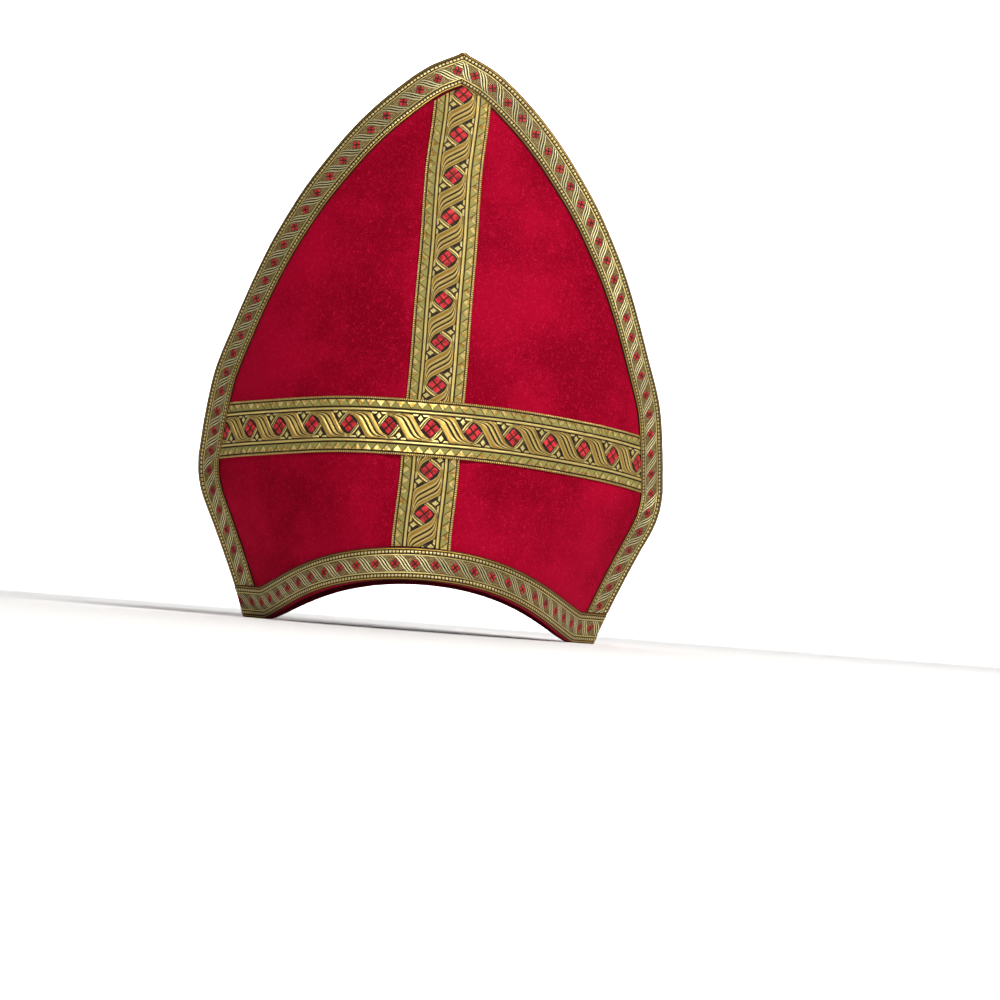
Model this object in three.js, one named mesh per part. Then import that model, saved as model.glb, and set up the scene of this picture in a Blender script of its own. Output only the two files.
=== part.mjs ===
// A bishop's mitre: two stiff velvet-covered shields, front and back, joined along their sides up to
// the widest place, with a folded cloth crown between the two free horns and woven gold braid on both
// faces. Millimetres, +Z up. The front faces -Y, the wearer's left is +X, and the mitre stands on its
// rim, with the origin on the ground midway between the side seams.
import * as THREE from "three";
import { mergeVertices } from "three/addons/utils/BufferGeometryUtils.js";

// Outline of a shield, as it shows from the front
const HEIGHT = 365;
const WIDEST_HEIGHT = 102;
const RIM_HALF_WIDTH = 112.5;
const WIDEST_HALF_WIDTH = 151;
const TIP_HALF_WIDTH = 1.5;

// Depth from the seam plane to the middle of a shield's face, at three heights
const RIM_HALF_DEPTH = 96;
const WIDEST_HALF_DEPTH = 89;
const TIP_HALF_DEPTH = 62;

// How the shield is bent round the head
const SIDE_TURN = 60;
const SEAM_TURN_BACK = 26;
const SEAM_MARGIN = 20;
const SEAM_MARGIN_FADE = 110;
const HORN_RADIUS = 184;
const HORN_RADIUS_GROWTH = 125;

// The rim's lower edge
const RIM_ARCH = 31;
const RIM_ARCH_HALF_LENGTH = 132;
const RIM_ARCH_FULLNESS = 1.2;
const RIM_ARCH_FADE_HEIGHT = 100;

// Cloth, board and braid
const PANEL_THICKNESS = 2.4;
const SEAM_GAP = 0.3;
const BRAID_THICKNESS = 0.9;
const LAYER_GAP = 0.3;
const BUTT_GAP = 0.7;
const WIDE_BRAID = 35;
const NARROW_BRAID = 20;
const VELVET_MARGIN = 0.8;
const CROSS_HEIGHT = 124;
const CROSS_LEAN = 4.7;
const CROSSING_RAMP = 8;

// The folded crown between the horns
const CROWN_THICKNESS = 1.4;
const CROWN_GAP = 0.6;
const CROWN_EDGE_INSET = 2;
const CROWN_VALLEY_DROP = 6;
const CROWN_FOLD_ROUNDING = 0.06;
const CROWN_REACH = 0.965;

// Mesh fineness
const PANEL_COLUMNS = 26;
const PANEL_ROWS_BELOW = 8;
const PANEL_ROWS_ABOVE = 15;
const CROWDING = 0.6;
const ARC_STEP = 1;
const OUTLINE_STEPS = 160;
const BEND_LEVELS = 12;
const BRAID_LANES = 2;
const PILLAR_LANES = 3;
const PILLAR_STEPS = 32;
const CROSS_STEPS = 44;
const EDGE_STEPS = 40;
const RIM_STEPS = 36;
const CROWN_COLUMNS = 28;
const CROWN_ROWS = 14;

// Side flare below the widest place. up: share of the widest height, out: share of the way from the
// rim's half width to the widest half width.
const SIDE_FLARE = [
  { up: 0, out: 0 },
  { up: 0.19, out: 0.19 },
  { up: 0.38, out: 0.4 },
  { up: 0.57, out: 0.63 },
  { up: 0.76, out: 0.875 },
  { up: 0.88, out: 0.97 },
  { up: 1, out: 1 },
];

// Horn above the widest place. up: share of the height left, out: share of the widest half width.
const HORN_OUTLINE = [
  { up: 0, out: 1 },
  { up: 0.11, out: 0.977 },
  { up: 0.215, out: 0.944 },
  { up: 0.32, out: 0.878 },
  { up: 0.385, out: 0.836 },
  { up: 0.45, out: 0.792 },
  { up: 0.52, out: 0.739 },
  { up: 0.592, out: 0.675 },
  { up: 0.664, out: 0.604 },
  { up: 0.734, out: 0.52 },
  { up: 0.807, out: 0.422 },
  { up: 0.88, out: 0.303 },
  { up: 0.957, out: 0.145 },
  { up: 1, out: 0 },
];

const radians = THREE.MathUtils.degToRad;
const clamp = THREE.MathUtils.clamp;
const lerp = THREE.MathUtils.lerp;
const ease = (t) => THREE.MathUtils.smoothstep(t, 0, 1);

// A smooth curve through one named column of a table, at a share of the way up.
function column(table, name, up) {
  const last = table.length - 1;
  const at = clamp(up, 0, 1);
  const i = clamp(table.findIndex((row) => row.up > at) - 1, 0, last - 1);
  const k = at >= 1 ? last - 1 : i;
  const slope = (n) => {
    const a = table[Math.max(n - 1, 0)];
    const b = table[Math.min(n + 1, last)];
    return (b[name] - a[name]) / (b.up - a.up);
  };
  const from = table[k];
  const to = table[k + 1];
  const span = to.up - from.up;
  const t = (at - from.up) / span;
  const bend = t * (1 - t) * span;
  const line = lerp(from[name], to[name], ease(t));
  return line + bend * ((1 - t) * slope(k) - t * slope(k + 1));
}

const hornShare = (z) => (z - WIDEST_HEIGHT) / (HEIGHT - WIDEST_HEIGHT);

// Half width of the shield at a height, as it shows from the front.
function halfWidth(z) {
  if (z <= WIDEST_HEIGHT) {
    return lerp(RIM_HALF_WIDTH, WIDEST_HALF_WIDTH, column(SIDE_FLARE, "out", z / WIDEST_HEIGHT));
  }
  const share = column(HORN_OUTLINE, "out", hornShare(z));
  return Math.max(TIP_HALF_WIDTH, WIDEST_HALF_WIDTH * share);
}

// One level run of the shield's inner face, for a half width, a bend radius and a turn back at the
// seam: points with the arc length from the middle, the sideways place, the depth and the direction.
function bentRun(edge, radius, turnBack) {
  const turn = radians(SIDE_TURN);
  const points = [{ s: 0, x: 0, depth: 0, angle: 0 }];
  let last = points[0];
  while (last.x < edge) {
    const middle = last.s + ARC_STEP / 2;
    const margin = ease(clamp(1 - (edge - last.x) / SEAM_MARGIN, 0, 1));
    const angle = turn * Math.tanh(middle / (radius * turn)) - turnBack * margin;
    const step = Math.min(ARC_STEP, (edge - last.x) / Math.cos(angle) + 1e-6);
    const x = last.x + step * Math.cos(angle);
    last = { s: last.s + step, x, depth: last.depth + step * Math.sin(angle), angle };
    points.push(last);
  }
  return points;
}

// Bend radii up to the widest place, found so that the middle of the face is a straight line.
const lowerRadii = Array.from({ length: BEND_LEVELS + 1 }, (_, i) => {
  const share = i / BEND_LEVELS;
  const wanted = lerp(RIM_HALF_DEPTH, WIDEST_HALF_DEPTH, share);
  const edge = halfWidth(share * WIDEST_HEIGHT);
  let [tight, open] = [edge / 8, edge * 8];
  for (let k = 0; k < 40; k++) {
    const radius = (tight + open) / 2;
    if (bentRun(edge, radius, radians(SEAM_TURN_BACK)).at(-1).depth > wanted) tight = radius;
    else open = radius;
  }
  return tight;
});

function bendRadius(z) {
  if (z > WIDEST_HEIGHT) {
    const growth = 1 - Math.exp((WIDEST_HEIGHT - z) / HORN_RADIUS_GROWTH);
    return lerp(lowerRadii.at(-1), HORN_RADIUS, growth);
  }
  const level = clamp((z / WIDEST_HEIGHT) * BEND_LEVELS, 0, BEND_LEVELS);
  const i = Math.min(Math.floor(level), BEND_LEVELS - 1);
  return lerp(lowerRadii[i], lowerRadii[i + 1], level - i);
}

// The inner face's run at one height, with its length and where its middle lies.
const sections = new Map();
function section(z) {
  const key = Math.round(z * 1000);
  if (sections.has(key)) return sections.get(key);
  const fade = 1 - ease(clamp((z - WIDEST_HEIGHT) / SEAM_MARGIN_FADE, 0, 1));
  const points = bentRun(halfWidth(z), bendRadius(z), radians(SEAM_TURN_BACK) * fade);
  const end = points.at(-1);
  const above = lerp(WIDEST_HALF_DEPTH, TIP_HALF_DEPTH, hornShare(z));
  const front = SEAM_GAP / 2 + (z > WIDEST_HEIGHT ? Math.max(above, end.depth) : end.depth);
  const made = { points, arc: end.s, front };
  sections.set(key, made);
  return made;
}

const halfArc = (z) => section(z).arc;

// A point s along the arc from the middle and z up, a level distance out from the inner face.
function lifted(s, z, offset) {
  const { points, arc, front } = section(z);
  const along = Math.min(Math.abs(s), arc);
  const i = Math.min(Math.floor(along / ARC_STEP), points.length - 2);
  const [a, b] = [points[i], points[i + 1]];
  const t = clamp((along - a.s) / (b.s - a.s), 0, 1);
  const angle = lerp(a.angle, b.angle, t);
  const x = lerp(a.x, b.x, t) + offset * Math.sin(angle);
  const y = lerp(a.depth, b.depth, t) - front - offset * Math.cos(angle);
  return new THREE.Vector3(Math.sign(s) * x, y, z);
}

// The rim's height over the ground: level by the seams and arched over the forehead. A lower
// fullness makes the arch's shoulders broader.
function rimHeight(s) {
  const share = clamp(Math.abs(s) / RIM_ARCH_HALF_LENGTH, 0, 1);
  return RIM_ARCH * Math.cos((Math.PI / 2) * share) ** RIM_ARCH_FULLNESS;
}

// A closed sheet: a box whose corners (u, v, w), each from 0 to 1, go where place puts them.
function sheet(name, columns, rows, material, place) {
  const box = new THREE.BoxGeometry(1, 1, 1, columns, rows, 1);
  const at = box.getAttribute("position");
  for (let i = 0; i < at.count; i++) {
    const p = place(at.getX(i) + 0.5, at.getY(i) + 0.5, at.getZ(i) + 0.5);
    at.setXYZ(i, p.x, p.y, p.z);
  }
  box.deleteAttribute("normal");
  box.deleteAttribute("uv");
  const geometry = mergeVertices(box, 1e-3);
  geometry.computeVertexNormals();
  const mesh = new THREE.Mesh(geometry, material);
  mesh.name = name;
  return mesh;
}

// The outline moved inwards by a distance, on the right half, from the rim up to the middle line.
function insetOutline(distance) {
  const line = [];
  for (let i = 0; i <= OUTLINE_STEPS; i++) {
    const z = (HEIGHT * i) / OUTLINE_STEPS;
    const reach = HEIGHT / OUTLINE_STEPS / 2;
    const low = Math.max(z - reach, 0);
    const high = Math.min(z + reach, HEIGHT);
    const along = new THREE.Vector2(halfArc(high) - halfArc(low), high - low).normalize();
    line.push(new THREE.Vector2(halfArc(z) - along.y * distance, z + along.x * distance));
  }
  const [before, end] = line.slice(-2);
  line.push(end.clone().multiplyScalar(2).sub(before));
  for (const point of line) point.y = Math.min(point.y, HEIGHT - distance);
  return line;
}

// Where a line through points passes a value of one coordinate, searched from its start.
function crossing(line, axis, value, other) {
  for (let i = 1; i < line.length; i++) {
    const [a, b] = [line[i - 1], line[i]];
    if ((a[axis] - value) * (b[axis] - value) <= 0 && a[axis] !== b[axis]) {
      const t = (value - a[axis]) / (b[axis] - a[axis]);
      return { at: lerp(a[other], b[other], t), index: i };
    }
  }
  throw new Error("the outline never reaches " + axis + " = " + value);
}

// The part of an inset outline from a height up to the middle gap, as points at equal shares.
function edgeRun(distance, fromHeight, count) {
  const line = insetOutline(distance);
  const start = crossing(line, "y", fromHeight, "x");
  const middle = LAYER_GAP / 2;
  const end = crossing(line.slice(start.index), "x", middle, "y");
  const kept = [
    new THREE.Vector2(start.at, fromHeight),
    ...line.slice(start.index, start.index + end.index),
    new THREE.Vector2(middle, end.at),
  ];
  const path = new THREE.CurvePath();
  for (let i = 1; i < kept.length; i++) path.add(new THREE.LineCurve(kept[i - 1], kept[i]));
  return Array.from({ length: count + 1 }, (_, i) => path.getPointAt(i / count));
}

const cloth = (color, roughness) => new THREE.MeshStandardMaterial({ color, roughness, metalness: 0 });
const velvet = cloth(0xa2082c, 0.85);
const lining = cloth(0x8c0a26, 0.75);
const braid = new THREE.MeshStandardMaterial({ color: 0xb0924a, roughness: 0.45, metalness: 0.6 });

const braidFoot = PANEL_THICKNESS + LAYER_GAP;
const innerLine = VELVET_MARGIN + NARROW_BRAID;
const rimTop = (s) => rimHeight(s) + innerLine;

// Steps from -1 to 1 that come closer together towards both ends.
const crowded = (t) => lerp(t, Math.sin((t * Math.PI) / 2), CROWDING);

// The velvet-covered board, from the rim to the tip. Its mesh is closest at the creased edges and
// round the widest place.
function makePanel(name) {
  const rows = PANEL_ROWS_BELOW + PANEL_ROWS_ABOVE;
  return sheet(name, PANEL_COLUMNS, rows, velvet, (u, v, w) => {
    const row = v * rows;
    const below = WIDEST_HEIGHT * crowded(Math.min(row / PANEL_ROWS_BELOW, 1));
    const left = Math.min((rows - row) / PANEL_ROWS_ABOVE, 1);
    const level = below + (HEIGHT - WIDEST_HEIGHT) * (1 - crowded(left));
    const s = crowded(2 * u - 1) * halfArc(level);
    const rise = rimHeight(s) * Math.max(0, 1 - level / RIM_ARCH_FADE_HEIGHT);
    return lifted(s, level + rise, PANEL_THICKNESS * w);
  });
}

// Narrow braid along the rim, from seam to seam.
function makeRimBraid(name) {
  return sheet(name, RIM_STEPS, BRAID_LANES, braid, (u, v, w) => {
    const foot = VELVET_MARGIN + NARROW_BRAID * v;
    const s = (2 * u - 1) * (halfArc(foot) - VELVET_MARGIN);
    return lifted(s, rimHeight(s) + foot, braidFoot + BRAID_THICKNESS * w);
  });
}

// Narrow braid up one edge, from the rim braid round the widest place to the tip.
function makeEdgeBraid(name, side) {
  const start = innerLine + LAYER_GAP;
  const runs = Array.from({ length: BRAID_LANES + 1 }, (_, i) =>
    edgeRun(VELVET_MARGIN + (NARROW_BRAID * i) / BRAID_LANES, start, EDGE_STEPS),
  );
  return sheet(name, BRAID_LANES, EDGE_STEPS, braid, (u, v, w) => {
    const row = Math.round(v * EDGE_STEPS);
    const lane = Math.round((side > 0 ? 1 - u : u) * BRAID_LANES);
    const p = runs[lane][row];
    return lifted(side * p.x, p.y, braidFoot + BRAID_THICKNESS * w);
  });
}

// Wide braid up the middle, from the rim braid to the edge braids under the tip.
function makePillarBraid(name) {
  const ceiling = insetOutline(innerLine + BUTT_GAP).reverse();
  return sheet(name, PILLAR_LANES, PILLAR_STEPS, braid, (u, v, w) => {
    const s = WIDE_BRAID * (u - 0.5);
    const top = crossing(ceiling, "x", Math.max(Math.abs(s), LAYER_GAP), "y").at;
    const z = lerp(rimTop(s) + LAYER_GAP, top, v);
    return lifted(s, z, braidFoot + BRAID_THICKNESS * w);
  });
}

// Wide braid across the widest place, highest in the middle because the whole band leans back, and
// lifted where it passes over the upright one.
function makeCrossBraid(name) {
  const wall = insetOutline(innerLine + BUTT_GAP);
  const over = BRAID_THICKNESS + LAYER_GAP;
  const height = (s, level) => {
    const depth = lifted(s, level, 0).y - lifted(0, level, 0).y;
    return level - Math.tan(radians(CROSS_LEAN)) * depth;
  };
  return sheet(name, CROSS_STEPS, BRAID_LANES, braid, (u, v, w) => {
    const level = CROSS_HEIGHT + WIDE_BRAID * (v - 0.5);
    let reach = crossing(wall, "y", level, "x").at;
    for (let i = 0; i < 4; i++) reach = crossing(wall, "y", height(reach, level), "x").at;
    const s = (2 * u - 1) * reach;
    const z = height(s, level);
    const past = (Math.abs(s) - (WIDE_BRAID + CROSSING_RAMP) / 2) / CROSSING_RAMP;
    const lift = over * (1 - ease(clamp(past, 0, 1)));
    return lifted(s, z, braidFoot + lift + BRAID_THICKNESS * w);
  });
}

// The folded cloth between the horns: a valley from side seam to side seam.
function makeCrown(name) {
  const corner = halfWidth(WIDEST_HEIGHT);
  const behind = CROWN_GAP + CROWN_THICKNESS / 2;
  const edgeAt = (share) => {
    let [low, high] = [WIDEST_HEIGHT, HEIGHT];
    for (let i = 0; i < 40; i++) {
      const z = (low + high) / 2;
      if (halfWidth(z) > Math.abs(share) * corner) low = z;
      else high = z;
    }
    const z = Math.min(low, HEIGHT - CROWN_EDGE_INSET * 2);
    const s = Math.max(halfArc(z) - CROWN_EDGE_INSET, 0);
    return lifted(Math.sign(share) * s, z - CROWN_EDGE_INSET, -behind);
  };
  const middle = (u, f) => {
    const share = crowded(2 * u - 1) * CROWN_REACH;
    const edge = edgeAt(share);
    const dip = CROWN_VALLEY_DROP * (1 - share * share);
    const valley = new THREE.Vector3(edge.x, 0, WIDEST_HEIGHT - dip);
    const r = CROWN_FOLD_ROUNDING;
    const climb = (Math.hypot(f, r) - r) / (Math.hypot(1, r) - r);
    return new THREE.Vector3(edge.x, edge.y * -f, lerp(valley.z, edge.z, climb));
  };
  return sheet(name, CROWN_COLUMNS, CROWN_ROWS, lining, (u, v, w) => {
    const f = 2 * v - 1;
    const p = middle(u, f);
    const step = 0.01;
    const across = middle(Math.min(u + step, 1), f).sub(middle(Math.max(u - step, 0), f));
    const along = middle(u, f + step).sub(middle(u, f - step));
    const normal = across.cross(along).normalize();
    return p.addScaledVector(normal, CROWN_THICKNESS * (w - 0.5));
  });
}

// One face of the mitre with all its braid; the back is the front turned half round.
function makeFace(side) {
  const face = new THREE.Group();
  face.add(
    makePanel("panel_" + side),
    makePillarBraid("pillar_braid_" + side),
    makeCrossBraid("cross_braid_" + side),
    makeEdgeBraid("edge_braid_left_" + side, 1),
    makeEdgeBraid("edge_braid_right_" + side, -1),
    makeRimBraid("rim_braid_" + side),
  );
  return face;
}

const mitre = new THREE.Group();
const back = makeFace("back");
back.rotation.z = Math.PI;
mitre.add(makeFace("front"), back, makeCrown("crown_fold"));

export default mitre;
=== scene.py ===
"""A bishop's mitre in crimson velvet with woven gold braid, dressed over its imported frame."""
import math

import bpy
import numpy as np
from bpy.props import FloatProperty, FloatVectorProperty, PointerProperty
from mathutils import Matrix, Vector


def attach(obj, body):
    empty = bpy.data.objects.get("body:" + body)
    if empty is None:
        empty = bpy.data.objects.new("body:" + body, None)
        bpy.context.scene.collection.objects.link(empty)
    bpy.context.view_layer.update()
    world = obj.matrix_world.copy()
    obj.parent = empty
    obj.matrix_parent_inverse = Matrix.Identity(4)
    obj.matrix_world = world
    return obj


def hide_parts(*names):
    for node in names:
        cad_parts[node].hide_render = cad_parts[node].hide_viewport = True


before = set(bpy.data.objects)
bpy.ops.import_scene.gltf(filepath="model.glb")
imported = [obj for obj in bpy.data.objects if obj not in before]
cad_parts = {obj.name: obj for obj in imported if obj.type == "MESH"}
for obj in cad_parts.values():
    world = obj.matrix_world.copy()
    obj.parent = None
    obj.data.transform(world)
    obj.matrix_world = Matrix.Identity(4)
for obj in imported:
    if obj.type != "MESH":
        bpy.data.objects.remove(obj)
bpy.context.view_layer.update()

bl_info = {
    "name": "Bishop's mitre",
    "version": (1, 0, 0),
    "blender": (4, 5, 0),
    "location": "3D View > Sidebar > Mitre",
    "description": "Makes a velvet mitre with woven gold braid, and a plain stage for it",
    "category": "Add Mesh",
}

MM = 0.001

# All sizes from here to the properties are in millimetres.

# How the shields' surface is worked out, and the gap from a seam to the plane between them.
OUTLINE_POINTS = 731
BEND_LEVELS = 13
BEND_RANGE = 8
BEND_HALVINGS = 30
SEAM_GAP = 0.15

# Length over which the rows across the edge braid swing round the widest place.
CORNER_SWING = 34

# A shield: its grid, how soon the pile rises beside a braid, how wide its calm margin is, and how
# far its edges swell at the side seam and elsewhere, as a share of half its thickness.
SHIELD_ROWS, SHIELD_COLUMNS = 200, 171
PILE_RISE, CALM_MARGIN = 2.5, 30
SEAM_BULGE, EDGE_BULGE = 0.34, 0.12

# The cloth between the horns: its grid, how much of the width it spans, how it stays inside the
# shields, how its valley sags and bends, and its thickness.
CROWN_ROWS, CROWN_COLUMNS, CROWN_LEVELS = 111, 121, 400
CROWN_REACH = 0.9995
CROWN_TOP_GAP, CROWN_EDGE_GAP, CROWN_EDGE_OUT = 4, 2, -0.9
VALLEY_DROP, VALLEY_SAG, VALLEY_BEND = 2, 5, 0.06
CROWN_HALF_THICKNESS, CROWN_BULGE = 0.55, 0.3

# Braids: repeat of the pattern, half width of its middle field, length of a bead, turns of the
# metal thread and of the plain cloth's thread, and the grids of the meshes.
WIDE_PITCH, WIDE_FIELD, WIDE_BEAD = 26.0, 8.3, 1.3
TRIANGLE_PITCH = WIDE_PITCH / 4
NARROW_PITCH, NARROW_FIELD, NARROW_BEAD = 13.35, 4.8, 2.4
THREAD, PLAIN_THREAD = 0.62, 0.7
UNDER_STRIPS = 5
ROW_STEP = 0.6
EDGE_ROWS, RIM_ROWS = 640, 520

# The wide braid's strands, their shift beside the middle line and their slant, its diamonds, and
# the stripe of triangles along each edge.
WIDE_SHIFT, WIDE_SLANT, WIDE_STRAND_HALF = 1.25, 0.64, 6.6
DIAMOND_HALF_LENGTH, DIAMOND_HALF_WIDTH = 5.6, 5.7
STRIPE_MIDDLE, STRIPE_HALF, STRIPE_START, TRIANGLE_HEIGHT = 13.4, 1.95, 11.45, 3.95

# The narrow braid's strands, diamonds, dots of its ground and row of beads.
NARROW_SLANT, NARROW_STRAND_HALF = 0.73, 3.0
NARROW_DIAMOND_HALF = 3.3
DOT_PERIOD = 1.6
BEADS_AT, BEADS_HALF, WIDE_BEADS_START = 7.2, 0.9, 16.2

# Relief of the parts that no table of lines gives.
LEAF_RELIEF, DIAMOND_RELIEF, NARROW_DIAMOND_RELIEF = 0.24, 0.30, 0.26
GROUND_RELIEF, GROOVE_DEPTH = 0.08, 0.15

# Gaps of the sewing: under a braid, over the one it crosses, and beside the ones it meets.
UNDER_GAP, OVER_GAP = 0.15, 0.3
RIM_GAP, CORNER_GAP, EDGE_GAP, TIP_GAP = 0.2, 0.3, 0.4, 0.08

# How the upright braid leans aside towards its top and its foot, and where each lean sets in.
TOP_LEAN, TOP_LEAN_FROM = 1.7, 285
FOOT_LEAN, FOOT_LEAN_FROM = 1.6, 55
LEAN_LENGTH = 50

# Where the pattern starts on each braid, and how long its repeat came out there.
UPRIGHT_START, UPRIGHT_PITCH = 337.4, 26.6
CROSS_START, CROSS_PITCH = -1.4, 25.35
EDGE_START, EDGE_PITCH = {"left": 260.64, "right": 266.14}, 13.2
RIM_START, RIM_PITCH = 8.0, 11.95

# Half width of the side flare below the widest place: share of its height, share of the way out.
SIDE_FLARE = {
    "up": (0, 0.19, 0.38, 0.57, 0.76, 0.88, 1),
    "out": (0, 0.19, 0.4, 0.63, 0.875, 0.97, 1),
}

# Half width of a horn above the widest place: share of the height left, share of the widest.
HORN_OUTLINE = {
    "up": (0, 0.11, 0.215, 0.32, 0.385, 0.45, 0.52, 0.592, 0.664, 0.734, 0.807, 0.88, 0.957, 1),
    "out": (
        1, 0.977, 0.944, 0.878, 0.836, 0.792, 0.739, 0.675, 0.604, 0.52, 0.422, 0.303, 0.145, 0),
}

# In the tables below, bright rows on the crests are light thread with painted highlights, and
# shadow rows in the grooves are dark ground with painted shade.
THREADS = ("gold", "bright", "tan", "pale", "cream", "olive", "shadow", "green", "red")

# Lines woven along each edge of the wide braid: distance from its middle line, relief, and the
# thread that shows.
WIDE_EDGE = (
    (8.1, 0.00, "shadow"), (8.75, 0.00, "shadow"),
    (8.9, 0.25, "gold"), (9.2, 0.38, "bright"), (9.9, 0.42, "bright"), (10.3, 0.30, "gold"),
    (10.5, 0.02, "shadow"), (11.25, 0.02, "shadow"),
    (11.45, 0.22, "gold"), (15.3, 0.22, "gold"),
    (15.5, 0.02, "shadow"), (16.15, 0.02, "shadow"),
    (16.35, 0.25, "gold"), (16.9, 0.36, "bright"), (17.5, 0.10, "tan"),
)

# Lines across the three ribs of the broad strand that winds between the diamonds.
WIDE_STRAND = (
    (-7.0, 0.00, "shadow"), (-6.1, 0.02, "shadow"),
    (-5.95, 0.22, "bright"), (-5.3, 0.38, "gold"), (-3.8, 0.42, "tan"), (-2.3, 0.40, "bright"),
    (-1.75, 0.22, "gold"), (-1.6, 0.04, "shadow"), (-0.6, 0.04, "shadow"),
    (-0.45, 0.30, "gold"), (0.4, 0.42, "bright"), (1.5, 0.36, "gold"), (1.75, 0.22, "tan"),
    (1.9, 0.04, "shadow"), (2.85, 0.04, "shadow"),
    (3.0, 0.25, "bright"), (3.4, 0.40, "bright"), (4.4, 0.42, "tan"), (5.4, 0.38, "gold"),
    (5.85, 0.22, "bright"), (6.0, 0.02, "shadow"), (7.0, 0.00, "shadow"),
)

# Lines beside each diamond, where the strand that passed over its tip dives below the next one.
WIDE_UNDER = (
    (4.9, 0.00, "shadow"), (5.15, 0.02, "shadow"), (5.3, 0.16, "pale"), (5.75, 0.16, "pale"),
    (5.9, 0.02, "shadow"), (6.35, 0.02, "shadow"),
    (6.5, 0.25, "gold"), (6.8, 0.32, "bright"), (7.4, 0.32, "bright"), (7.65, 0.22, "gold"),
    (7.8, 0.02, "shadow"), (8.5, 0.02, "shadow"), (8.8, 0.06, "olive"), (9.6, 0.03, "shadow"),
)

# Lines along each edge of the narrow braid: a row of beads between two thin threads.
NARROW_EDGE = (
    (4.7, 0.00, "shadow"), (4.9, 0.02, "shadow"), (5.05, 0.24, "bright"), (5.6, 0.24, "bright"),
    (5.75, 0.02, "shadow"), (6.2, 0.02, "shadow"),
    (6.4, 0.26, "gold"), (7.2, 0.42, "cream"), (8.0, 0.26, "gold"),
    (8.15, 0.02, "shadow"), (8.6, 0.02, "shadow"), (8.75, 0.22, "gold"), (9.3, 0.16, "tan"),
    (9.5, 0.04, "shadow"), (10.0, 0.04, "shadow"),
)

# Lines across the three slanting threads between the narrow braid's diamonds.
NARROW_STRAND = (
    (-3.1, 0.02, "shadow"), (-2.8, 0.02, "shadow"), (-2.6, 0.26, "cream"), (-1.8, 0.26, "cream"),
    (-1.6, 0.02, "shadow"), (-0.65, 0.02, "shadow"), (-0.45, 0.28, "cream"), (0.4, 0.28, "cream"),
    (0.6, 0.02, "shadow"), (1.5, 0.02, "shadow"), (1.7, 0.26, "cream"), (2.5, 0.26, "cream"),
    (2.7, 0.02, "shadow"), (3.1, 0.02, "shadow"),
)


def metres(name, description, default):
    """A size in metres that the user can change."""
    return FloatProperty(name=name, description=description, default=default, unit="LENGTH")


def degrees(name, description, default):
    """An angle that the user can change, given in degrees."""
    return FloatProperty(
        name=name, description=description, default=math.radians(default), subtype="ANGLE")


def hue(name, description, default):
    """A colour that the user can change."""
    return FloatVectorProperty(
        name=name, description=description, default=default, subtype="COLOR", size=3, min=0, max=1)


class MitreShape(bpy.types.PropertyGroup):
    """Sizes of the mitre's body and its braids."""

    height: metres("Height", "Rim's corner to the tip", 0.365)
    widest_height: metres("Widest height", "Height of the widest place", 0.102)
    rim_half_width: metres("Rim half width", "Half the width at the rim", 0.1125)
    widest_half_width: metres("Widest half width", "Half the greatest width", 0.151)
    tip_half_width: metres("Tip half width", "Half the width of the blunt tip", 0.0015)
    rim_half_depth: metres("Rim half depth", "Seam to the middle of the face, at the rim", 0.096)
    widest_half_depth: metres("Widest half depth", "The same at the widest place", 0.089)
    tip_half_depth: metres("Tip half depth", "The same at the tip", 0.062)
    side_turn: degrees("Side turn", "How far the face turns towards its sides", 60)
    seam_turn_back: degrees("Seam turn back", "How far the margin at the seam turns out again", 26)
    seam_margin: metres("Seam margin", "Width of the margin at the seam", 0.02)
    seam_margin_fade: metres(
        "Margin fade", "Height over which the margin fades on the horns", 0.11)
    horn_radius: metres("Horn radius", "Bend of the face towards the tip", 0.184)
    horn_radius_growth: metres("Horn opening", "Height over which the bend opens", 0.125)
    rim_arch: metres("Rim arch", "Rise of the rim over the forehead", 0.031)
    rim_arch_half_length: metres(
        "Arch half length", "Half the length of the arch, along the rim", 0.132)
    rim_arch_fullness: FloatProperty(
        name="Arch fullness", description="A lower value makes the arch's shoulders broader",
        default=1.2)
    rim_arch_fade: metres("Arch fade", "Height over which the arch fades", 0.1)
    thickness: metres("Shield thickness", "Velvet, board and lining together", 0.0024)
    wide_braid: metres("Wide braid", "Width of the braid of the cross", 0.035)
    narrow_braid: metres("Narrow braid", "Width of the braid of the edges and rim", 0.02)
    braid_thickness: metres("Braid thickness", "Thickness without the woven relief", 0.0007)
    velvet_margin: metres("Velvet margin", "Velvet that shows outside the edge braid", 0.0001)
    cross_height: metres("Cross height", "Height of the cross braid's middle", 0.124)
    cross_lean: degrees("Cross lean", "Lean of the cross braid's plane", 4.7)
    crossing_ramp: metres("Crossing ramp", "Length over which the cross braid comes down", 0.008)
    pile: metres("Pile", "How far the velvet swells between the braids", 0.0007)


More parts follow.
